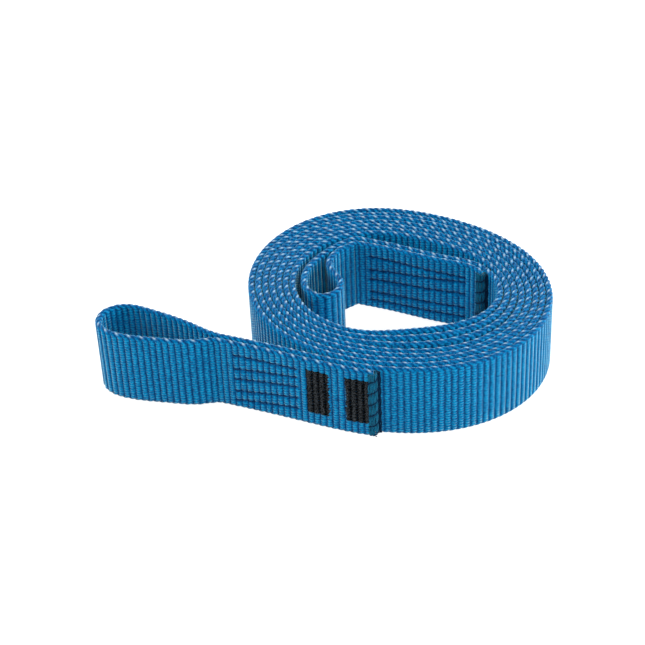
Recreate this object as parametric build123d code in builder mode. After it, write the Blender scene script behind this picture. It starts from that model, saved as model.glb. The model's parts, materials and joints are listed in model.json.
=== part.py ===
from build123d import *
import os
from math import cos, degrees, pi, radians, sin

# A short flat web sling, rolled up and standing on its edge. One strip of webbing is folded
# back and sewn to itself at each end, which makes an eye there. The strip's width is along Z
# and its bottom edge lies in Z = 0. Seen from above it winds anticlockwise and inwards, from
# the outer end at the front to the inner end in the core. All sizes are in millimetres.

# Webbing
WEB_WIDTH = 25.0
WEB_THICKNESS = 1.9
LAYER_PITCH = 2.1          # from one layer's middle to the next, in the roll and in the laps

# The roll: an oval spiral
COIL_X, COIL_Y = 21.3, 0.81
COIL_RADIUS = 43.95        # mean radius of the outermost turn's outer face
OVAL = 3.9                 # how much the long axis adds and the short axis takes
OVAL_TURN = -18.7          # direction of the long axis, degrees from +X
EGG = 0.5                  # how much blunter one side of the oval is
EGG_TURN = -10.6
WHOLE_TURNS = 7
LAST_ANGLE = 94.0          # degrees past the whole turns, to where the inner end begins
POINTS_PER_TURN = 24
CORE_SLACK = 2.0           # how far the innermost layer stands off at the front right
SLACK_FROM, SLACK_TO = -36.0, 93.0   # degrees about the last whole turn

# Hinge lines, where the strip bends out of its rest shape
TAIL_ANGLE = 1.0           # degrees of winding, at the front of the roll
TAIL_HINGE_CLEARANCE = 0.25
THROAT_CLEARANCE = 0.35

# The outer end, about the middle of the roll
OUTER_LIFT_OFF = -18.0     # degrees of winding where the end leaves the roll
OUTER_LAP = [(-31.5, -31.1), (-50.2, -25.0)]
OUTER_EYE = [(-61.4, -18.8), (-74.0, -12.3), (-82.2, -10.1), (-88.1, -13.5), (-88.2, -19.6),
             (-81.0, -24.5), (-69.0, -26.6), (-58.5, -27.3)]
OUTER_FOLD = 0.113          # where the folded ply's cut end lies, as a share of the lap
OUTER_STITCH = (0.535, 0.945)

# The inner end, about the middle of the roll
INNER_LAP = [(28.2, 6.9), (25.1, 10.3), (16.0, 14.1), (-2.0, 20.9), (-11.2, 23.9)]
INNER_EYE = [(-15.0, 23.3), (-21.9, 17.3), (-26.6, 10.4), (-28.2, 4.1), (-26.7, -2.3),
             (-22.5, -5.2), (-18.1, -3.0), (-16.9, 2.0), (-19.5, 7.5), (-20.9, 12.2),
             (-19.6, 16.2), (-17.6, 18.9), (-14.6, 21.1)]
INNER_FOLD = 0.12
INNER_STITCH = (0.24, 0.945)

# Lock stitching: each row's height above the floor at its cut-end side and at the eye
OUTER_ROWS = [(20.2, 20.2), (17.2, 14.9), (13.6, 11.0), (9.4, 6.4), (5.4, 2.9)]
INNER_ROWS = [(19.6, 20.3), (18.0, 14.9), (13.4, 11.3), (8.0, 6.4), (4.4, 3.3)]
ROW_HEIGHT = 0.8
THREAD_WIDTH = 0.45        # how deep each strand is, across the plies
THREAD_PROUD = 0.05
NEEDLE_HOLE = 0.7
STITCH_LENGTH = 3.9

# Bar tacks and overlock
BAR_TACKS = [(0.368, 0.495), (0.145, 0.266)]
BAR_TACK_HEIGHT = 15.5
BAR_TACK_MIDDLE = 13.3
BAR_TACK_ROW = 2.0
OVERLOCK_LENGTH = 1.5
OVERLOCK_THICKNESS = 0.3
OVERLOCK_TRIM = 0.1        # how far short of the ply's hidden face it stops
OVERLOCK_BANDS = 6
OVERLOCK_BAND_HEIGHT = 3.5

# How finely the curves are followed
SPAN_POINTS = 10
LAP_SPANS = 1
EYE_SPANS = 4
ROLL_SPANS_PER_TURN = 3
END_RUN = 1.0              # a curve runs straight for this far from where a piece ends
BAND_OVERRUN = 3.0


def coil_point(winding):
    """The web's middle after this much winding, in radians from the front of the outer turn."""
    direction = winding - pi / 2
    oval = OVAL * cos(2 * (direction - radians(OVAL_TURN)))
    egg = EGG * cos(3 * (direction - radians(EGG_TURN)))
    radius = COIL_RADIUS + oval + egg - LAYER_PITCH * winding / (2 * pi) - WEB_THICKNESS / 2
    late = (degrees(winding) - 360 * WHOLE_TURNS - SLACK_FROM) / (SLACK_TO - SLACK_FROM)
    if 0 < late < 1:
        radius -= CORE_SLACK * sin(pi * late) ** 2
    return (COIL_X + radius * cos(direction), COIL_Y + radius * sin(direction))


def coil_points(start, stop, step):
    """Points along the spiral between two windings, in degrees."""
    count = max(2, round(abs(stop - start) / step))
    return [coil_point(radians(start + (stop - start) * i / count)) for i in range(count + 1)]


def about_coil(points):
    return [(COIL_X + x, COIL_Y + y) for x, y in points]


def beside(path, distance, start=0.0, stop=1.0, count=SPAN_POINTS):
    """Points at a distance to the left of a path, between two of its fractions."""
    points = []
    for i in range(count + 1):
        at = start + (stop - start) * i / count
        along = path % at
        points.append(path @ at + Vector(-along.Y, along.X) * distance)
    return points


def loop_points(lap, points):
    """An eye's points: out of the main ply's end, about the coil's listed points, and back."""
    onward = (lap % 1) * END_RUN
    leave = lap @ 1
    arrive = beside(lap, LAYER_PITCH, 1, 1, 1)[0]
    return [leave, leave + onward] + about_coil(points) + [arrive + onward, arrive]


def ribbon(path, middle, width, start=0.0, stop=1.0, spans=1, seat=0.0):
    """A band of this width seen from above, its middle at a distance left of a path.

    Its ends are square, or hollowed about the path's ends to a seat's radius.
    """
    lead = (seat**2 - (width / 2) ** 2) ** 0.5 / path.length if seat else 0.0
    marks = [start + lead + (stop - start - 2 * lead) * i / spans for i in range(spans + 1)]
    with BuildSketch() as band:
        with BuildLine():
            for side in (width / 2, -width / 2):
                for near, far in zip(marks, marks[1:]):
                    Spline(beside(path, middle + side, near, far))
            for mark, hollow in ((marks[0], seat), (marks[-1], -seat)):
                left, right = (beside(path, middle + side, mark, mark, 1)[0]
                               for side in (width / 2, -width / 2))
                if seat:
                    end = start if mark == marks[0] else stop
                    ThreePointArc(left, path @ (end + hollow / path.length), right)
                else:
                    Line(left, right)
        make_face()
    return band.sketch


def round_seat(place, radius):
    """The round space that a bend needs about its hinge line."""
    with BuildSketch() as seat:
        with Locations(place):
            Circle(radius)
    return seat.sketch


def ladder_sketch(lap, start, stop, stitch_length):
    """Thread through both plies of a lap, seen from above.

    A strand lies in the outer face of each ply, and a rung stands at each needle hole.
    """
    middle = LAYER_PITCH / 2
    outside = (LAYER_PITCH + WEB_THICKNESS) / 2
    rungs = max(2, round(lap.length * (stop - start) / stitch_length))
    half_hole = 0.5 * NEEDLE_HOLE / lap.length
    with BuildSketch() as ladder:
        for side in (1, -1):
            strand = middle + side * (outside + THREAD_PROUD - THREAD_WIDTH / 2)
            add(ribbon(lap, strand, THREAD_WIDTH, start, stop))
        for i in range(rungs + 1):
            at = start + half_hole + (stop - start - 2 * half_hole) * i / rungs
            with BuildLine():
                Line(beside(lap, middle - outside + THREAD_WIDTH / 2, at, at, 1)[0],
                     beside(lap, middle + outside - THREAD_WIDTH / 2, at, at, 1)[0])
            trace(line_width=NEEDLE_HOLE)
    return ladder.sketch


def band_sketch(lap, start, stop, height, heights):
    """A row's straight band, seen from the front, between its two end heights."""
    (x0, x1), (z0, z1) = ((lap @ start).X, (lap @ stop).X), heights
    slope = (z1 - z0) / (x1 - x0)
    ends = [(x, z0 + slope * (x - x0)) for x in (x0 + BAND_OVERRUN, x1 - BAND_OVERRUN)]
    with BuildSketch(Plane.XZ) as band:
        with BuildLine():
            Polyline([(x, z - height / 2) for x, z in ends]
                     + [(x, z + height / 2) for x, z in reversed(ends)], close=True)
        make_face()
    return band.sketch


def overlock_sketch(lap, cut_end):
    """Thread over the folded ply's cut end, seen from above."""
    start, stop = (cut_end + length / lap.length for length in (-OVERLOCK_THICKNESS, OVERLOCK_LENGTH))
    over_both = WEB_THICKNESS + OVERLOCK_THICKNESS
    middle = LAYER_PITCH + (OVERLOCK_THICKNESS + OVERLOCK_TRIM) / 2
    with BuildSketch() as cap:
        with Locations(beside(lap, middle, cut_end, cut_end, 1)[0]):
            Circle((over_both - OVERLOCK_TRIM) / 2)
        add(ribbon(lap, LAYER_PITCH + over_both / 2, OVERLOCK_THICKNESS, start, stop))
        add(ribbon(lap, LAYER_PITCH, WEB_THICKNESS, cut_end, 1.0, LAP_SPANS), mode=Mode.SUBTRACT)
    return cap.sketch


def save(piece, name):
    piece.part.label = name
    export_step(piece.part, f"parts/{name}.step")


os.makedirs("parts", exist_ok=True)

# Paths of the strip's middle, as seen from above
last_winding = 360.0 * WHOLE_TURNS + LAST_ANGLE
with BuildLine() as rolled:
    Spline(coil_points(TAIL_ANGLE, last_winding, 360 / POINTS_PER_TURN))
with BuildLine() as outer_lap:
    Spline(coil_points(TAIL_ANGLE, OUTER_LIFT_OFF, 5) + about_coil(OUTER_LAP))
with BuildLine() as inner_lap:
    Spline(coil_points(last_winding, last_winding + 1, 1) + about_coil(INNER_LAP))
outer_path = outer_lap.line.edge()
inner_path = inner_lap.line.edge()
tail_hinge = coil_point(radians(TAIL_ANGLE))
core_hinge = coil_point(radians(last_winding))
outer_throat = beside(outer_path, LAYER_PITCH / 2, 1, 1, 1)[0]
inner_throat = beside(inner_path, LAYER_PITCH / 2, 1, 1, 1)[0]
with BuildLine() as outer_eye:
    Spline(loop_points(outer_path, OUTER_EYE))
with BuildLine() as inner_eye:
    Spline(loop_points(inner_path, INNER_EYE))
hinge_seat = WEB_THICKNESS / 2 + TAIL_HINGE_CLEARANCE
throat_seat = (LAYER_PITCH + WEB_THICKNESS) / 2 + THROAT_CLEARANCE

# The rolled middle of the strip
with BuildPart() as coil_webbing:
    roll_spans = round(last_winding / 360 * ROLL_SPANS_PER_TURN)
    extrude(ribbon(rolled.line.edge(), 0, WEB_THICKNESS, spans=roll_spans, seat=hinge_seat),
            amount=WEB_WIDTH)
save(coil_webbing, "coil_webbing")

# The two sewn ends
ends = (("outer", outer_path, OUTER_FOLD, OUTER_STITCH, OUTER_ROWS, outer_throat, BAR_TACKS),
        ("inner", inner_path, INNER_FOLD, INNER_STITCH, INNER_ROWS, inner_throat, []))
for end, lap, fold, stitch, rows, throat, tacks in ends:
    threads = []
    for number, heights in enumerate(rows, 1):
        with BuildPart() as stitch_row:
            extrude(ladder_sketch(lap, *stitch, STITCH_LENGTH), amount=WEB_WIDTH)
            extrude(band_sketch(lap, *stitch, ROW_HEIGHT, heights), amount=3 * COIL_RADIUS,
                    both=True, mode=Mode.INTERSECT)
        save(stitch_row, f"{end}_stitch_row_{number}")
        threads.append(stitch_row.part)
    for number, span in enumerate(tacks, 1):
        with BuildPart() as bar_tack:
            level = (BAR_TACK_MIDDLE, BAR_TACK_MIDDLE)
            extrude(ladder_sketch(lap, *span, BAR_TACK_ROW), amount=WEB_WIDTH)
            extrude(band_sketch(lap, *span, BAR_TACK_HEIGHT, level), amount=3 * COIL_RADIUS,
                    both=True, mode=Mode.INTERSECT)
        save(bar_tack, f"{end}_bar_tack_{number}")
        threads.append(bar_tack.part)
    with BuildPart() as lap_ply:
        extrude(ribbon(lap, 0, WEB_THICKNESS, spans=LAP_SPANS), amount=WEB_WIDTH)
        extrude(round_seat(throat, throat_seat), amount=WEB_WIDTH, mode=Mode.SUBTRACT)
        add(threads, mode=Mode.SUBTRACT)
    save(lap_ply, f"{end}_lap_ply")
    with BuildPart() as folded_ply:
        extrude(ribbon(lap, LAYER_PITCH, WEB_THICKNESS, fold, 1.0, LAP_SPANS), amount=WEB_WIDTH)
        extrude(round_seat(throat, throat_seat), amount=WEB_WIDTH, mode=Mode.SUBTRACT)
        add(threads, mode=Mode.SUBTRACT)
    save(folded_ply, f"{end}_folded_ply")
    with BuildPart() as end_overlock:
        step = (WEB_WIDTH - OVERLOCK_BAND_HEIGHT) / (OVERLOCK_BANDS - 1)
        for i in range(OVERLOCK_BANDS):
            with Locations((0, 0, i * step)):
                add(extrude(overlock_sketch(lap, fold), amount=OVERLOCK_BAND_HEIGHT,
                            mode=Mode.PRIVATE))
    save(end_overlock, f"{end}_end_overlock")

# The two eyes
eyes = {"outer": outer_eye.line.edge(), "inner": inner_eye.line.edge()}
for end, loop in eyes.items():
    with BuildPart() as eye_loop:
        extrude(ribbon(loop, 0, WEB_THICKNESS, spans=EYE_SPANS), amount=WEB_WIDTH)
    save(eye_loop, f"{end}_eye_loop")

laps = {"outer": (outer_path, OUTER_FOLD), "inner": (inner_path, INNER_FOLD)}
strip = rolled.line.edge().length
for end, (lap, fold) in laps.items():
    strip += lap.length + eyes[end].length + lap.length * (1 - fold)
    print(f"{end} lap {lap.length:.1f} mm, eye loop {eyes[end].length:.1f} mm")
print(f"strip cut length {strip:.0f} mm, of it {rolled.line.edge().length:.0f} mm in the roll")
hinges = {"tail": tail_hinge, "core": core_hinge, "outer throat": outer_throat,
          "inner throat": inner_throat}
for name, place in hinges.items():
    at = Vector(*place)
    print(f"{name} hinge {at.X:.3f}, {at.Y:.3f}")
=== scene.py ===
import json
from math import cos, pi, radians, sin

import bpy
import numpy as np
from mathutils import Matrix, Vector


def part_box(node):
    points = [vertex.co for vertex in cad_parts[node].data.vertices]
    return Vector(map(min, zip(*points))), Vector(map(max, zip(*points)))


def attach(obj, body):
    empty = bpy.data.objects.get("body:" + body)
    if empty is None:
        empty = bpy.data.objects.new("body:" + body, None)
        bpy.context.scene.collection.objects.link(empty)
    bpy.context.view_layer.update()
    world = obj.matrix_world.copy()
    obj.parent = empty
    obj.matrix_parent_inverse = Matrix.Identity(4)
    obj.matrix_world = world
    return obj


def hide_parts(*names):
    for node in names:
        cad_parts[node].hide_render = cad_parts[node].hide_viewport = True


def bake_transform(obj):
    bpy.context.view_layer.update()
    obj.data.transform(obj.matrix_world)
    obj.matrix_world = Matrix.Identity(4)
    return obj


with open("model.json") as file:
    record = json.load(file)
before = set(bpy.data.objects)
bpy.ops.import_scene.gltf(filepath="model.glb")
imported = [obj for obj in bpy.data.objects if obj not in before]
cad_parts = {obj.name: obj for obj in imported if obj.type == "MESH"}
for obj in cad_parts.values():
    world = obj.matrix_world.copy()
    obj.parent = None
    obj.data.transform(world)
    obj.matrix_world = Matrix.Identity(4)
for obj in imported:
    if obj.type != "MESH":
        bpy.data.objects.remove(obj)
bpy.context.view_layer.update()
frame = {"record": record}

# The visual model of a rolled-up flat web sling. Lengths here are in millimetres until a mesh
# is made. The webbing follows one line from the outer cut end, round the outer eye, through
# the roll and the inner eye, to the inner cut end, so that its ribs run on from piece to piece.

MM = 0.001
record = frame["record"]
hinges = {j["name"]: np.array(j["pos_m"][:2]) / MM for j in record["behaviour"]["joints"]}
roll_low, roll_high = (np.array(corner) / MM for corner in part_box("coil_webbing"))
WEB_WIDTH = float(roll_high[2] - roll_low[2])
rng = np.random.default_rng(7)

# Webbing
LAYER_PITCH = 2.1
RIB = 1.95                    # from one rib to the next
STEPS_PER_RIB = 8
STEP = RIB / STEPS_PER_RIB
CREST, GROOVE = 1.04, 0.60    # half the web's thickness at a rib's top and between two ribs
BEAD = 0.95                   # height of one warp thread's float on a rib
EDGE_STEPS = 10               # steps round a selvedge
EDGE_TWIST = -1.6             # ribs that a selvedge strand crosses as it goes over the edge
PROUD_STRAND, LOW_STRAND = 0.80, 0.58       # heights of every other strand over the edge
BULGE, BULGE_AT, BULGE_SPREAD = 0.30, 1.25, 0.38    # a proud strand's bulge, by edge angle
RIM_FROM, RIM_OVER, RIM_SHARE = 1.75, 0.9, 0.5      # the far rim, where strands level out
GLINT_SHARPNESS = 10
SMOOTHING = 3                 # steps on either side that the web's direction is taken over
WAVE_HEIGHT, WAVE_LENGTH = 0.12, 97.0       # the lower edge's slight wave along the floor

# The roll: an oval spiral about its own centre
HALF_THICKNESS = 0.95
ROLL_RADIUS = 43.95
OVAL, OVAL_TURN = 3.9, radians(-18.7)
EGG, EGG_TURN = 0.5, radians(-10.6)
TAIL_WINDING = radians(1.0)
LAST_WINDING = radians(7 * 360 + 94.0)
CORE_SLACK = 2.0
LOOSE_TURNS = 3               # the last turns share the slack out between them
SLACK_FROM, SLACK_TO = radians(7 * 360 - 36.0), radians(7 * 360 + 93.0)

# The ends, about the middle of the roll
OUTER_LIFT_OFF = radians(-18.0)
OUTER_LAP = [(-31.5, -31.1), (-50.2, -25.0)]
OUTER_EYE = [(-61.4, -18.8), (-74.0, -12.3), (-82.2, -10.1), (-88.1, -13.5), (-88.2, -19.6),
             (-81.0, -24.5), (-69.0, -26.6), (-58.5, -27.3)]
OUTER_FOLD = 0.113
INNER_LAP = [(28.2, 6.9), (25.1, 10.3), (16.0, 14.1), (-2.0, 20.9), (-11.2, 23.9)]
INNER_EYE = [(-15.0, 23.3), (-21.9, 17.3), (-26.6, 10.4), (-28.2, 4.1), (-26.7, -2.3),
             (-22.5, -5.2), (-18.1, -3.0), (-16.9, 2.0), (-19.5, 7.5), (-20.9, 12.2),
             (-19.6, 16.2), (-17.6, 18.9), (-14.6, 21.1)]
INNER_FOLD = 0.12

# Sewing: shares of a lap's length from its hinge, and heights at the near and far end
OUTER_STITCH, INNER_STITCH = (0.535, 0.945), (0.24, 0.945)
OUTER_ROWS = [(20.2, 20.2), (17.2, 14.9), (13.6, 11.0), (9.4, 6.4), (5.4, 2.9)]
INNER_ROWS = [(19.6, 20.3), (18.0, 14.9), (13.4, 11.3), (8.0, 6.4), (4.4, 3.3)]
STITCH_LENGTH = 3.9
# SINK_SHADE: how much lift drops where stitching pulls the face in, which darkens the colour there
# as painted shade
SINK, SINK_WIDTH, SINK_SHADE = 0.42, 0.55, 1.9
BAR_TACKS = [(0.368, 0.495), (0.140, 0.266)]
TACK_ROW, TACK_THREAD = 0.62, 0.33
BAR_TACK_LOW, BAR_TACK_HIGH = 5.6, 21.0
STITCH_THREAD, STITCH_POINTS = 0.20, 15
STITCH_DEPTH, STITCH_ARCH, STITCH_SWAY = 0.32, 0.42, 0.08
TACK_STEP, TACK_JITTER, TACK_RELIEF = 0.18, 0.3, 1.15
TACK_STAND, TACK_DIP, TACK_DROOP = 0.10, 0.30, 0.10
OVERLOCK_BANDS = 6
OVERLOCK_REACH = 0.9          # how far the overlock covers the exposed face
OVERLOCK_ROUND = 1.0          # its radius round the cut end
OVERLOCK_TURN = 0.8 * pi      # and how far round it goes
OVERLOCK_INSET, OVERLOCK_MARGIN, OVERLOCK_SPACING = 0.55, 0.8, 0.40
OVERLOCK_THREAD, CINCH_THREAD = 0.25, 0.23
PUFF_HEIGHT, CINCH_HEIGHT, PINCH_SLOPE = 0.30, 0.26, 0.45
LOOSE_THREAD, LOOSE_POINTS, LOOSE_SWAY = 0.13, 24, 0.16

# How the webbing is split into pieces
BEND = 7.0                    # a bend at the roll reaches this far on either side of its hinge
THROAT_RUN = 2.4              # an eye's piece takes in this much of the lap
ROLL_PIECES = 3               # the roll is split, so that no one mesh is too heavy
LAP_ROWS, EYE_ROWS = 50, 8    # rows of faces up the web, which the lap's stitching needs


# ---------------------------------------------------------------- lines
def spiral(winding):
    """Points of the web's middle line in the roll, and how far it leans inwards at the top."""
    direction = winding - pi / 2
    oval = OVAL * np.cos(2 * (direction - OVAL_TURN))
    egg = EGG * np.cos(3 * (direction - EGG_TURN))
    radius = ROLL_RADIUS + oval + egg - LAYER_PITCH * winding / (2 * pi) - HALF_THICKNESS
    turns = (winding - SLACK_FROM) / (2 * pi)
    late = np.clip((turns - np.floor(turns)) * 2 * pi / (SLACK_TO - SLACK_FROM), 0, 1)
    share = np.clip(1 + np.floor(turns) / LOOSE_TURNS, 0, 1)
    slack = CORE_SLACK * share * np.sin(pi * late) ** 2
    radius = radius - slack
    return np.stack([radius * np.cos(direction), radius * np.sin(direction)], 1), slack


def smooth(points, gap=0.05):
    """A natural cubic curve through points, as a fine line."""
    p = np.array(points, float)
    t = np.concatenate([[0], np.cumsum(np.hypot(*np.diff(p, axis=0).T))])
    h, n = np.diff(t), len(t)
    a, rhs = np.eye(n), np.zeros((n, 2))
    for i in range(1, n - 1):
        a[i, i - 1:i + 2] = h[i - 1], 2 * (h[i - 1] + h[i]), h[i]
        rhs[i] = 6 * ((p[i + 1] - p[i]) / h[i] - (p[i] - p[i - 1]) / h[i - 1])
    m = np.linalg.solve(a, rhs)
    fine = np.linspace(0, t[-1], int(t[-1] / gap) + 2)
    k = np.clip(np.searchsorted(t, fine, side="right") - 1, 0, n - 2)
    d, w = (fine - t[k])[:, None], h[k][:, None]
    slope = (p[k + 1] - p[k]) / w - w * (2 * m[k] + m[k + 1]) / 6
    return p[k] + slope * d + m[k] * d**2 / 2 + (m[k + 1] - m[k]) / (6 * w) * d**3


def lengths(line):
    return np.concatenate([[0], np.cumsum(np.hypot(*np.diff(line, axis=0).T))])


def directions(line):
    along = np.gradient(line, axis=0)
    return along / np.hypot(*along.T)[:, None]


def left_of(line, distance):
    along = directions(line)
    return line + distance * np.stack([-along[:, 1], along[:, 0]], 1)


# The roll's middle is where its outline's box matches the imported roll's box
windings = np.arange(TAIL_WINDING, LAST_WINDING, radians(0.1))
roll_line, roll_slack = spiral(windings)
outline = left_of(roll_line, -HALF_THICKNESS)
CENTRE = (roll_low + roll_high)[:2] / 2 - (outline.min(0) + outline.max(0)) / 2


def outer_or_inner(lap_start, lap_points, eye_points, fold):
    """An end's lap, eye and folded ply as fine lines, from the hinge to the cut end."""
    lap = smooth(list(lap_start) + lap_points)
    onward = directions(lap)[-1]
    beside = left_of(lap, LAYER_PITCH)
    eye = smooth([lap[-1], lap[-1] + onward] + eye_points + [beside[-1] + onward, beside[-1]])
    folded = beside[lengths(lap) >= fold * lengths(lap)[-1]][::-1]
    return lap, eye, folded


outer = outer_or_inner(spiral(np.linspace(TAIL_WINDING, OUTER_LIFT_OFF, 5))[0],
                       OUTER_LAP, OUTER_EYE, OUTER_FOLD)
inner = outer_or_inner(spiral(LAST_WINDING + radians(1) * np.arange(2))[0],
                       INNER_LAP, INNER_EYE, INNER_FOLD)

stretches = [part[::-1] for part in outer[::-1]] + [roll_line] + list(inner)
slacks = [roll_slack if part is roll_line else np.zeros(len(part)) for part in stretches]
rough_line, rough_slack, marks = stretches[0], slacks[0], [0.0]
for stretch, slack in zip(stretches[1:], slacks[1:]):
    marks.append(lengths(rough_line)[-1])
    rough_line = np.vstack([rough_line, stretch[1:]])
    rough_slack = np.concatenate([rough_slack, slack[1:]])
rough_length = lengths(rough_line)
marks.append(rough_length[-1])
OUTER_CUT, OUTER_THROAT_NEAR, OUTER_THROAT_FAR, TAIL, CORE, INNER_THROAT_FAR, \
    INNER_THROAT_NEAR, INNER_CUT = marks

strip_at = np.arange(0, rough_length[-1], STEP)
strip = np.stack([np.interp(strip_at, rough_length, rough_line[:, i]) for i in (0, 1)], 1) + CENTRE
lean = np.interp(strip_at, rough_length, rough_slack) / (WEB_WIDTH / 2)
window = 2 * SMOOTHING + 1
padded_line = np.vstack([strip[:1]] * SMOOTHING + [strip] + [strip[-1:]] * SMOOTHING)
smoothed = sum(padded_line[i:i + len(strip)] for i in range(window)) / window
along = directions(smoothed)
leftward = np.stack([-along[:, 1], along[:, 0]], 1)
lift_off_floor = WAVE_HEIGHT * (1 - np.cos(2 * pi * strip_at / WAVE_LENGTH))


def on_strip(at, out, z):
    """Points at these lengths along the strip, this far left of its middle, at this height."""
    x, y, nx, ny, tilt, rise = (np.interp(at, strip_at, v) for v in (
        strip[:, 0], strip[:, 1], leftward[:, 0], leftward[:, 1], lean, lift_off_floor))
    away = out + tilt * (z - WEB_WIDTH / 2)
    return np.stack([x + nx * away, y + ny * away, z + rise], -1)


def rib_height(ribs):
    """From 0 between ribs to 1 on their tops."""
    return np.abs(np.cos(pi * ribs)) ** 0.75


# ---------------------------------------------------------------- materials
def new_material(name, **sockets):
    material = bpy.data.materials.new(name)
    material.use_nodes = True
    shader = material.node_tree.nodes["Principled BSDF"]
    for socket, value in sockets.items():
        shader.inputs[socket.replace("_", " ")].default_value = value
    return material, material.node_tree, shader


def node(tree, kind, **settings):
    made = tree.nodes.new(kind)
    for key, value in settings.items():
        setattr(made, key, value)
    return made


def maths(tree, operation, *values):
    made = node(tree, "ShaderNodeMath", operation=operation)
    for socket, value in zip(made.inputs, values):
        if isinstance(value, (int, float)):
            socket.default_value = value
        else:
            tree.links.new(value, socket)
    return made.outputs[0]


def attribute(tree, name, output="Fac"):
    return node(tree, "ShaderNodeAttribute", attribute_name=name).outputs[output]


def ramp(tree, value, stops):
    made = node(tree, "ShaderNodeValToRGB")
    while len(made.color_ramp.elements) < len(stops):
        made.color_ramp.elements.new(0.5)
    for element, (position, colour) in zip(made.color_ramp.elements, stops):
        element.position = position
        element.color = (*colour, 1)
    tree.links.new(value, made.inputs["Fac"])
    return made.outputs["Color"]


def mixed(tree, share, first, second):
    made = node(tree, "ShaderNodeMix", data_type="RGBA")
    for index, value in ((0, share), (6, first), (7, second)):
        if isinstance(value, (int, float)):
            made.inputs[index].default_value = value
        elif isinstance(value, tuple):
            made.inputs[index].default_value = (*value, 1)
        else:
            tree.links.new(value, made.inputs[index])
    return made.outputs[2]


def noise(tree, scale, detail=2.0, vector=None):
    coordinates = vector or node(tree, "ShaderNodeTexCoord").outputs["Object"]
    made = node(tree, "ShaderNodeTexNoise")
    made.inputs["Scale"].default_value = scale
    made.inputs["Detail"].default_value = detail
    tree.links.new(coordinates, made.inputs["Vector"])
    return made.outputs["Fac"]


def bumped(tree, shader, height, distance, strength=1.0):
    bump = node(tree, "ShaderNodeBump")
    bump.inputs["Strength"].default_value = strength
    bump.inputs["Distance"].default_value = distance
    tree.links.new(height, bump.inputs["Height"])
    tree.links.new(bump.outputs["Normal"], shader.inputs["Normal"])


def scaled(tree, x, x_factor, y, y_factor):
    """A vector made of two values, each multiplied."""
    made = node(tree, "ShaderNodeCombineXYZ")
    tree.links.new(maths(tree, "MULTIPLY", x, x_factor), made.inputs[0])
    tree.links.new(maths(tree, "MULTIPLY", y, y_factor), made.inputs[1])
    return made.outputs[0]


def webbing_material():
    material, tree, shader = new_material(
        "blue_webbing", Roughness=0.34, Sheen_Weight=0.45, Sheen_Roughness=0.28,
        Specular_IOR_Level=0.03)
    shader.inputs["Sheen Tint"].default_value = (0.70, 1.0, 0.80, 1)
    split = node(tree, "ShaderNodeSeparateXYZ")
    tree.links.new(attribute(tree, "weave", "Vector"), split.inputs[0])
    ribs, floats = split.outputs["X"], split.outputs["Y"]
    lift, edge = attribute(tree, "lift"), attribute(tree, "edge")
    # beads of warp thread along each rib, half a bead out of step with those on the next rib
    nearest = maths(tree, "FLOOR", maths(tree, "ADD", ribs, 0.5))
    turn = maths(tree, "ADD", maths(tree, "MULTIPLY", floats, 2 * pi),
                 maths(tree, "MULTIPLY", nearest, pi))
    bead = maths(tree, "MULTIPLY_ADD", maths(tree, "COSINE", turn), 0.5, 0.5)
    # filaments run along the web
    fibre = noise(tree, 1.0, vector=scaled(tree, ribs, 0.8, floats, 7.5))
    fleck = noise(tree, 1500.0)
    patchy = noise(tree, 160.0, 3.0)
    on_face = maths(tree, "SUBTRACT", 1.0, edge)
    face_bead = maths(tree, "MULTIPLY", maths(tree, "MULTIPLY", bead, on_face), lift)
    # painted shade and highlight: the colour follows lift, darker in the grooves (partly deeper
    # dye, partly painted shade) and lighter on rib and bead tops (painted highlight)
    shown = maths(tree, "ADD", maths(tree, "MULTIPLY", lift, 0.50),
                  maths(tree, "MULTIPLY", face_bead, 0.30))
    shown = maths(tree, "ADD", shown, maths(tree, "MULTIPLY_ADD", fleck, 1.3, -0.57))
    shown = maths(tree, "ADD", shown, maths(tree, "MULTIPLY_ADD", fibre, 0.4, -0.10))
    face = ramp(tree, shown, [(0.0, (0.0, 0.010, 0.05)), (0.40, (0.0, 0.058, 0.17)),
                              (0.72, (0.0, 0.13, 0.30)), (1.0, (0.003, 0.24, 0.46))])
    cord = ramp(tree, shown, [(0.0, (0.0, 0.006, 0.035)), (0.38, (0.0, 0.045, 0.145)),
                              (0.62, (0.0, 0.11, 0.275)), (0.90, (0.002, 0.20, 0.40))])
    # painted highlight: pale glint dots mixed into the crests of the selvedge strands
    cord = mixed(tree, maths(tree, "MULTIPLY", split.outputs["Z"], 0.85), cord,
                 (0.46, 0.52, 0.52))
    colour = mixed(tree, edge, face, cord)
    shaded = mixed(tree, maths(tree, "MULTIPLY", patchy, 0.16), colour, (0.0, 0.08, 0.22))
    tree.links.new(shaded, shader.inputs["Base Color"])
    height = maths(tree, "ADD", maths(tree, "MULTIPLY", face_bead, 0.80),
                   maths(tree, "MULTIPLY", fibre, 0.22))
    bumped(tree, shader, height, 0.00018)
    return material


def thread_material(name, dark, light, roughness, sheen, stops=(0.45, 0.90), shine=0.05):
    """Thread whose dark and light patches follow its fibres and, if it has it, its lift; raised
    parts are painted lighter, a painted highlight.
    """
    material, tree, shader = new_material(name, Roughness=roughness, Sheen_Weight=sheen,
                                          Sheen_Roughness=0.3, Specular_IOR_Level=shine)
    fibre = noise(tree, 3200.0, 3.0)
    shown = maths(tree, "ADD", fibre, maths(tree, "MULTIPLY", attribute(tree, "lift"), 0.30))
    tree.links.new(ramp(tree, shown, list(zip(stops, (dark, light)))), shader.inputs["Base Color"])
    bumped(tree, shader, fibre, 0.00008)
    return material


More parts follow.
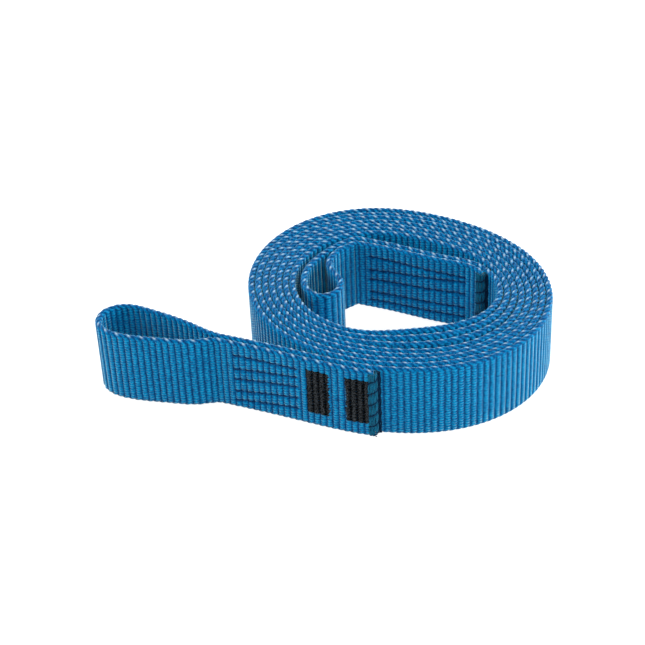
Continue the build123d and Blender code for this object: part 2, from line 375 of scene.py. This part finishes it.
webbing = webbing_material()
sewing = thread_material("sewing_thread", (0.0, 0.012, 0.055), (0.002, 0.06, 0.17), 0.55, 0.1)
black = thread_material("black_thread", (0.0, 0.0005, 0.001), (0.050, 0.058, 0.066), 0.40, 0.0,
                        stops=(0.70, 0.97), shine=0.02)
teal = thread_material("overlock_thread", (0.0, 0.010, 0.040), (0.002, 0.098, 0.175), 0.5, 0.05)
dark_teal = thread_material("cinch_thread", (0.0, 0.008, 0.026), (0.0, 0.030, 0.075), 0.6, 0.02)


# ---------------------------------------------------------------- meshes
def mesh_object(name, points, faces, material, facts=None):
    mesh = bpy.data.meshes.new(name)
    mesh.from_pydata(np.asarray(points) * MM, [], faces)
    mesh.polygons.foreach_set("use_smooth", np.ones(len(mesh.polygons), bool))
    for key, (kind, values) in (facts or {}).items():
        layer = mesh.attributes.new(key, kind, "POINT")
        field = "vector" if kind == "FLOAT_VECTOR" else "value"
        layer.data.foreach_set(field, np.asarray(values, np.float32).ravel())
    mesh.materials.append(material)
    made = bpy.data.objects.new(name, mesh)
    bpy.context.scene.collection.objects.link(made)
    return made


def ring_faces(count, size):
    """Quads that join rings of points into a skin."""
    first = np.arange(count - 1)[:, None] * size + np.arange(size)[None, :]
    after = np.roll(first, -1, axis=1)
    return np.stack([first, after, after + size, first + size], -1).reshape(-1, 4).tolist()


def face_column(at, side, z, sink):
    """A line of points along a face at one height, with their ribs, lift and glint."""
    turned = at / RIB + (EDGE_TWIST if side < 0 else 0)
    raised = rib_height(turned)
    out = GROOVE + (CREST - GROOVE) * raised
    if sink is not None:
        pulled = sink(at, z)
        out = out - pulled
        # painted shade: the lower lift darkens the colour in the stitch dimples
        raised = raised * (1 - np.clip(SINK_SHADE * pulled, 0, 0.9))
    return on_strip(at, side * out, np.full(len(at), z)), turned, raised, 0 * at


def edge_column(at, angle, z, upwards):
    """The same along a selvedge, at one angle round it from the left face."""
    turned = at / RIB + EDGE_TWIST * angle / pi
    strand = rib_height(turned)
    proud = 0.5 + 0.5 * np.cos(pi * turned)
    bulge = np.exp(-((angle - BULGE_AT) / BULGE_SPREAD) ** 2)
    round_it = sin(angle) ** 2
    raised = strand * (1 - round_it * (1 - (PROUD_STRAND + BULGE * bulge) * proud
                                       - LOW_STRAND * (1 - proud)))
    rim = np.clip((angle - RIM_FROM) / RIM_OVER, 0, 1) * round_it
    raised = raised * (1 - RIM_SHARE * rim) + RIM_SHARE * rim
    # glint is a painted highlight on the bulge of every other strand
    glint = proud**GLINT_SHARPNESS * strand * bulge * round_it
    radius = GROOVE + (CREST - GROOVE) * raised
    place = on_strip(at, radius * cos(angle), z + radius * sin(angle) * upwards)
    return place, turned, raised, glint


def end_caps(rows, size, count):
    """Strips of quads from the left side to the right, over both ends of a stretch."""
    bottom = [2 * (rows + 1) + EDGE_STEPS - 1 + i for i in range(EDGE_STEPS - 1)]
    middle = bottom[len(bottom) // 2]
    order = [(middle + i) % size for i in range(size)]
    pairs = [(order[i], order[-i % size]) for i in range(size // 2 + 1)]
    caps = []
    for base, flip in ((0, False), ((count - 1) * size, True)):
        for (a, b), (c, d) in zip(pairs, pairs[1:]):
            corners = [base + i for i in dict.fromkeys([a, b, d, c])]
            caps.append(corners[::-1] if flip else corners)
    return caps


def strap(name, start, stop, rows=5, sink=None, exposed=1):
    """A stretch of webbing between two lengths along the strip, with ribs and selvedges.

    sink(at, z) is how deep stitching pulls in the exposed face, which is 1 left or -1 right.
    """
    taken = np.arange(int(round(start / STEP)), int(round(stop / STEP)) + 1)
    at = strip_at[taken[taken < len(strip_at)]]
    low, high = CREST, WEB_WIDTH - CREST
    face_z = np.linspace(low, high, rows + 1)
    theta = pi * np.arange(1, EDGE_STEPS) / EDGE_STEPS
    columns = [face_column(at, 1, z, sink if exposed == 1 else None) for z in face_z]
    columns += [edge_column(at, angle, high, 1) for angle in theta]
    columns += [face_column(at, -1, z, sink if exposed == -1 else None) for z in face_z[::-1]]
    columns += [edge_column(at, angle, low, -1) for angle in theta[::-1]]
    places, turned, raised, glints = zip(*columns)
    # lengths round the section, where each face and selvedge starts and how far along it is
    run_lengths = [high - low, pi * CREST] * 2
    run_shares = (np.linspace(0, 1, rows + 1), theta / pi) * 2
    girths = np.concatenate([sum(run_lengths[:i]) + run_lengths[i] * share
                             for i, share in enumerate(run_shares)])
    weave = [np.stack([ribs, np.full(len(at), girth / BEAD), glint], 1)
             for ribs, girth, glint in zip(turned, girths, glints)]
    on_faces = np.zeros(rows + 1)
    edges = np.concatenate([on_faces, np.sin(theta) ** 0.5, on_faces, np.sin(theta[::-1]) ** 0.5])
    size = len(columns)
    points, weave = (np.stack(v, 1).reshape(-1, 3) for v in (places, weave))
    faces = ring_faces(len(at), size) + end_caps(rows, size, len(at))
    return mesh_object(name, points, faces, webbing, {
        "weave": ("FLOAT_VECTOR", weave), "lift": ("FLOAT", np.stack(raised, 1)),
        "edge": ("FLOAT", np.tile(edges, len(at)))})


class Threads:
    """Tubes of thread, gathered into one mesh."""

    def __init__(self):
        self.points, self.lifts, self.faces, self.count = [], [], [], 0

    def add(self, line, radius, sides=6, lift=0.0):
        line = np.asarray(line, float)
        along = np.gradient(line, axis=0)
        along /= np.linalg.norm(along, axis=1)[:, None]
        helper = np.array([0.0, 0.0, 1.0]) if abs(along[:, 2]).mean() < 0.8 \
            else np.array([1.0, 0.3, 0.0])
        side = np.cross(along, helper)
        side /= np.linalg.norm(side, axis=1)[:, None]
        up = np.cross(side, along)
        angle = 2 * pi * np.arange(sides) / sides
        thick = np.full(len(line), float(radius)) if np.isscalar(radius) else radius
        across = np.cos(angle)[None, :, None] * side[:, None]
        above = np.sin(angle)[None, :, None] * up[:, None]
        ring = line[:, None] + thick[:, None, None] * (across + above)
        self.points.append(ring.reshape(-1, 3))
        self.lifts.append(np.repeat(np.broadcast_to(lift, len(line)), sides))
        skin = np.array(ring_faces(len(line), sides)) + self.count
        self.faces += skin.tolist()
        self.faces.append([self.count + i for i in range(sides)])
        last = self.count + (len(line) - 1) * sides
        self.faces.append([last + i for i in range(sides)][::-1])
        self.count += len(line) * sides

    def finish(self, name, material):
        return mesh_object(name, np.vstack(self.points), self.faces, material,
                           {"lift": ("FLOAT", np.concatenate(self.lifts))})


# ---------------------------------------------------------------- the two sewn ends
class End:
    """Where an end's lap lies on the strip, and its sewing."""

    def __init__(self, hinge_at, throat_lap, throat_folded, cut_at, fold, stitch, rows, exposed):
        self.hinge, self.throat, self.fold = hinge_at, throat_lap, fold
        self.throat_folded, self.cut = throat_folded, cut_at
        self.stitch, self.rows, self.exposed = stitch, rows, exposed

    def on_lap(self, share):
        return self.hinge + (self.throat - self.hinge) * share

    def on_folded(self, share):
        """The folded ply lies beside the lap from the fold's share to its far end."""
        return self.cut + (self.throat_folded - self.cut) * (share - self.fold) / (1 - self.fold)

    def lap_share(self, at):
        return (at - self.hinge) / (self.throat - self.hinge)

    def folded_share(self, at):
        return self.fold + (1 - self.fold) * (at - self.cut) / (self.throat_folded - self.cut)

    def row_height(self, row, share):
        (near, far), (start, stop) = row, self.stitch
        return near + (far - near) * (share - start) / (stop - start)

    def sink(self, share_of):
        def depth(at, z):
            share = share_of(at)
            start, stop = self.stitch
            fade = 0.02
            inside = np.clip((share - start) / fade, 0, 1) * np.clip((stop - share) / fade, 0, 1)
            total = 0
            for row in self.rows:
                total = total + np.exp(-((z - self.row_height(row, share)) / SINK_WIDTH) ** 2)
            return SINK * inside * np.clip(total, 0, 1)
        return depth


outer_end = End(TAIL, OUTER_THROAT_FAR, OUTER_THROAT_NEAR, OUTER_CUT, OUTER_FOLD,
                OUTER_STITCH, OUTER_ROWS, 1)
inner_end = End(CORE, INNER_THROAT_FAR, INNER_THROAT_NEAR, INNER_CUT, INNER_FOLD,
                INNER_STITCH, INNER_ROWS, -1)


def web_piece(name, start, stop, length, *weave):
    """A stretch of webbing between two lengths along the strip; the length argument is not used."""
    piece = strap(name, start, stop, *weave)
    return piece


roll_marks = np.linspace(TAIL + BEND, CORE - BEND, ROLL_PIECES + 1)
for number, (roll_from, roll_to) in enumerate(zip(roll_marks, roll_marks[1:]), 1):
    roll = web_piece(f"roll_turns_{number}", roll_from, roll_to, roll_to - roll_from)
    if number == 1:
        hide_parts("coil_webbing")
    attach(roll, "root")

for side, hinge_at, to_root in (("outer", TAIL, 1), ("inner", CORE, -1)):
    piece = web_piece(f"{side}_end_bend", hinge_at - BEND, hinge_at + BEND, 2 * BEND)
    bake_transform(piece)

for side, end in (("outer", outer_end), ("inner", inner_end)):
    sign = 1 if side == "inner" else -1       # which way along the strip leads to the cut end
    body = f"{side}_end"
    lap_from, lap_to = sorted((end.hinge + sign * BEND, end.throat - sign * THROAT_RUN))
    lap_ply = web_piece(f"{side}_main_ply", lap_from, lap_to, lap_to - lap_from, LAP_ROWS,
                        end.sink(end.lap_share), end.exposed)
    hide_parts(f"{side}_lap_ply")
    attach(lap_ply, body)
    fold_from, fold_to = sorted((end.cut, end.throat_folded + sign * THROAT_RUN))
    folded_ply = web_piece(f"{side}_cut_ply", fold_from, fold_to, fold_to - fold_from, LAP_ROWS,
                           end.sink(end.folded_share), end.exposed)
    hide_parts(f"{side}_folded_ply")
    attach(folded_ply, body)
    eye_from, eye_to = sorted((end.throat - sign * THROAT_RUN,
                               end.throat_folded + sign * THROAT_RUN))
    eye = web_piece(f"{side}_eye", eye_from, eye_to, eye_to - eye_from, EYE_ROWS)
    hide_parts(f"{side}_eye_loop")
    throat = np.array([*hinges[f"{side}_eye_bend"], WEB_WIDTH / 2])
    loop = strip[(strip_at > eye_from) & (strip_at < eye_to)]
    into_eye = np.array([*(loop.mean(0) - throat[:2]), 0.0])
    into_eye /= np.linalg.norm(into_eye)
    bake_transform(eye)


def face_out(at, side, ribs_share=1.0):
    """How far the left (1) or right (-1) face stands from the web's middle.

    It has only this share of its rib relief.
    """
    ribs = at / RIB + (EDGE_TWIST if side < 0 else 0)
    return GROOVE + (CREST - GROOVE) * (1 - ribs_share + ribs_share * rib_height(ribs))


def stitch_row(end, side, number, row):
    threads = Threads()
    start, stop = end.stitch
    count = max(2, round(abs(end.throat - end.hinge) * (stop - start) / STITCH_LENGTH))
    for place in (end.on_lap, end.on_folded):
        for i in range(count):
            share = start + (stop - start) * (i + np.linspace(0.06, 0.94, STITCH_POINTS)) / count
            at = place(share)
            arch = np.sin(np.linspace(0, pi, STITCH_POINTS)) ** 0.5
            out = face_out(at, end.exposed, 0.5) - SINK - STITCH_DEPTH + STITCH_ARCH * arch
            sway = STITCH_SWAY * np.sin(np.linspace(0, 2 * pi, STITCH_POINTS))
            z = end.row_height(row, share) + sway
            threads.add(on_strip(at, end.exposed * out, z), STITCH_THREAD)
    piece = threads.finish(f"{side}_stitches_{number}", sewing)
    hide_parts(f"{side}_stitch_row_{number}")
    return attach(piece, f"{side}_end")


for side, end in (("outer", outer_end), ("inner", inner_end)):
    for number, row in enumerate(end.rows, 1):
        stitch_row(end, side, number, row)


def bar_tack(number, span):
    """Dense rows of black thread that follow the ribs, on both faces of the outer lap."""
    threads = Threads()
    rows = int((BAR_TACK_HIGH - BAR_TACK_LOW) / TACK_ROW)
    for place in (outer_end.on_folded, outer_end.on_lap):
        for i in range(rows + 1):
            z = BAR_TACK_LOW + i * (BAR_TACK_HIGH - BAR_TACK_LOW) / rows
            jitter = rng.uniform(-TACK_JITTER, TACK_JITTER, 2)
            at0, at1 = sorted(place(np.array(span))) + jitter
            at = np.linspace(at0, at1, int((at1 - at0) / TACK_STEP))
            ends = np.minimum(1, np.minimum(np.arange(len(at)), np.arange(len(at))[::-1]) / 2)
            out = face_out(at, 1, TACK_RELIEF) + TACK_STAND - TACK_DIP * (1 - ends)
            droop = TACK_DROOP * np.sin(at / RIB * pi + i * pi)
            # lift: the tack thread is painted lighter over the rib crests, painted glints
            threads.add(on_strip(at, out, z + droop), TACK_THREAD, 6, rib_height(at / RIB))
    piece = threads.finish(f"outer_tack_{number}", black)
    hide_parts(f"outer_bar_tack_{number}")
    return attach(piece, "outer_end")


for number, span in enumerate(BAR_TACKS, 1):
    bar_tack(number, span)


def end_direction(end):
    """The strip's direction at its cut end, as a vector."""
    i = 2 if end.cut < 1 else -3
    return np.array([along[i, 0], along[i, 1], 0.0])


def overlock(side, end, loose):
    """Looper strands along the cut end, gathered into puffs by a cinch thread between them."""
    inward = 1 if end.throat_folded > end.cut else -1
    strands, cinches = Threads(), Threads()
    pitch = WEB_WIDTH / OVERLOCK_BANDS
    last_girth = OVERLOCK_REACH + OVERLOCK_TURN * OVERLOCK_ROUND

    def placed(inwards, out, z):
        """Points about the cut end: this far in from it, and this far out of the exposed face."""
        true_at = end.cut + inward * inwards
        on = np.clip(true_at, 0, strip_at[-1])
        return on_strip(on, out * end.exposed, z) + (true_at - on)[:, None] * end_direction(end)

    def profile(girth, stand):
        """Inwards and outwards place at a length round the end's section, this far off it."""
        angle = np.clip((girth - OVERLOCK_REACH) / OVERLOCK_ROUND, 0, pi)
        inwards = np.maximum(OVERLOCK_REACH - girth, 0) + OVERLOCK_ROUND * (1 - np.sin(angle))
        inwards = inwards - OVERLOCK_INSET
        return inwards - np.sin(angle) * stand, np.cos(angle) + np.cos(angle) * stand

    z = np.linspace(OVERLOCK_MARGIN, WEB_WIDTH - OVERLOCK_MARGIN, 12 * OVERLOCK_BANDS)
    corner = np.clip(np.minimum(z, WEB_WIDTH - z) / 2.0, 0.25, 1) ** 0.5
    for girth in np.arange(0.15, last_girth, OVERLOCK_SPACING):
        slant = PINCH_SLOPE * girth
        puff = np.abs(np.sin(pi * (z - slant) / pitch)) ** 0.55
        wander = 0.10 * np.sin(2 * pi * z / 5.3 + 7 * girth)
        inwards, out = profile(girth + wander, (0.02 + PUFF_HEIGHT * puff) * corner)
        # puff as lift: the puff tops are painted lighter, a painted highlight
        strands.add(placed(inwards, out, z), OVERLOCK_THREAD, 7, puff)
    for i in range(1, OVERLOCK_BANDS):
        girth = np.linspace(-0.2, last_girth, 22)
        level = i * pitch + PINCH_SLOPE * girth + 0.12 * np.sin(3 * girth + i)
        inwards, out = profile(girth, CINCH_HEIGHT)
        cinches.add(placed(inwards, out, level), CINCH_THREAD)
    # chained dark threads in the corner behind the cut end; they darken that corner as painted
    # shade
    for line in range(3):
        swing = np.sin(2 * pi * z / pitch + 2.1 * line)
        beyond = -1.05 - 0.32 * line + 0.12 * swing
        behind = -0.62 - 0.06 * line + 0.10 * swing
        cinches.add(placed(beyond, behind, z), 0.24 + 0.05 * swing)
    for stray in loose:
        cinches.add(stray, LOOSE_THREAD)
    made = strands.finish(f"{side}_overlock", teal)
    cinch = cinches.finish(f"{side}_overlock_cinches", dark_teal)
    for piece in (made, cinch):
        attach(piece, f"{side}_end")
    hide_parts(f"{side}_end_overlock")


def curl(start, drift, length, seed):
    """A short stray thread that wanders as it goes."""
    walk = np.random.default_rng(seed)
    t = np.linspace(0, 1, LOOSE_POINTS)[:, None]
    phases, turns = walk.uniform(0, 2 * pi, 3), walk.uniform(0.6, 1.6, 3)
    sway = np.stack([np.sin(2 * pi * turns[i] * t[:, 0] + phases[i]) - sin(phases[i])
                     for i in range(3)], 1)
    return np.array(start) + t * np.array(drift) * length + sway * LOOSE_SWAY * length * t


outer_tip = on_strip(np.array([0.3]), 1.0, np.array([1.6]))[0]
inner_tip = on_strip(np.array([INNER_CUT - 0.5]), 0.0, np.array([0.0]))[0]
overlock("outer", outer_end, [curl(outer_tip, (0.65, -0.35, -0.35), 1.5, 3),
                              curl(outer_tip + [0.2, 0, 0.5], (0.9, -0.2, -0.3), 1.2, 5)])
overlock("inner", inner_end, [
    curl(inner_tip + [0.6, 0.2, height], (0.75, rng.uniform(-0.5, 0.3), rng.uniform(-0.5, 0.6)),
         rng.uniform(2.5, 5.0), 20 + i) for i, height in enumerate(np.linspace(6, 22, 11))])


# ---------------------------------------------------------------- floor, light and camera
floor_mesh = bpy.data.meshes.new("floor")
floor_mesh.from_pydata([(-40, -40, 0), (40, -40, 0), (40, 40, 0), (-40, 40, 0)], [], [(0, 1, 2, 3)])
floor = bpy.data.objects.new("floor", floor_mesh)
bpy.context.scene.collection.objects.link(floor)
floor_mesh.materials.append(new_material(
    "floor_white", Base_Color=(0.35, 0.35, 0.35, 1), Roughness=0.9, Specular_IOR_Level=0.0,
    Emission_Color=(1.0, 1.0, 1.0, 1), Emission_Strength=0.80)[0])

world = bpy.data.worlds.new("studio")
world.use_nodes = True
world.node_tree.nodes["Background"].inputs["Color"].default_value = (1, 1, 1, 1)
world.node_tree.nodes["Background"].inputs["Strength"].default_value = 0.32
bpy.context.scene.world = world
bpy.context.scene.view_settings.view_transform = "Standard"


SOFTBOX_SIZE, SOFTBOX_AIM = 0.50, (0, 0, 0.01)


def softbox(name, place, power):
    light = bpy.data.lights.new(name, "AREA")
    light.size, light.energy = SOFTBOX_SIZE, power
    lamp = bpy.data.objects.new(name, light)
    lamp.location = place
    way = Vector(SOFTBOX_AIM) - Vector(place)
    lamp.rotation_euler = way.to_track_quat("-Z", "Y").to_euler()
    bpy.context.scene.collection.objects.link(lamp)


softbox("left_side", (-0.90, 0.08, 0.42), 9.0)
softbox("left_back", (-0.62, 0.80, 0.42), 9.0)
softbox("right_side", (0.92, 0.02, 0.40), 11.0)
softbox("right_back", (0.66, 0.78, 0.40), 9.0)
softbox("front_top", (0.22, -0.72, 0.78), 9.0)

camera_data = bpy.data.cameras.new("camera")
camera_data.sensor_width = 36.0
camera_data.lens = 107.0
camera_data.clip_start, camera_data.clip_end = 0.02, 20.0
camera = bpy.data.objects.new("camera", camera_data)
facing = Matrix.Identity(4)
for degrees, axis in ((4.45, "Z"), (51.59, "X"), (-2.74, "Z")):
    facing = facing @ Matrix.Rotation(radians(degrees), 4, axis)
camera.matrix_world = Matrix.Translation((0.03448, -0.46245, 0.37832)) @ facing
bpy.context.scene.collection.objects.link(camera)
bpy.context.scene.camera = camera
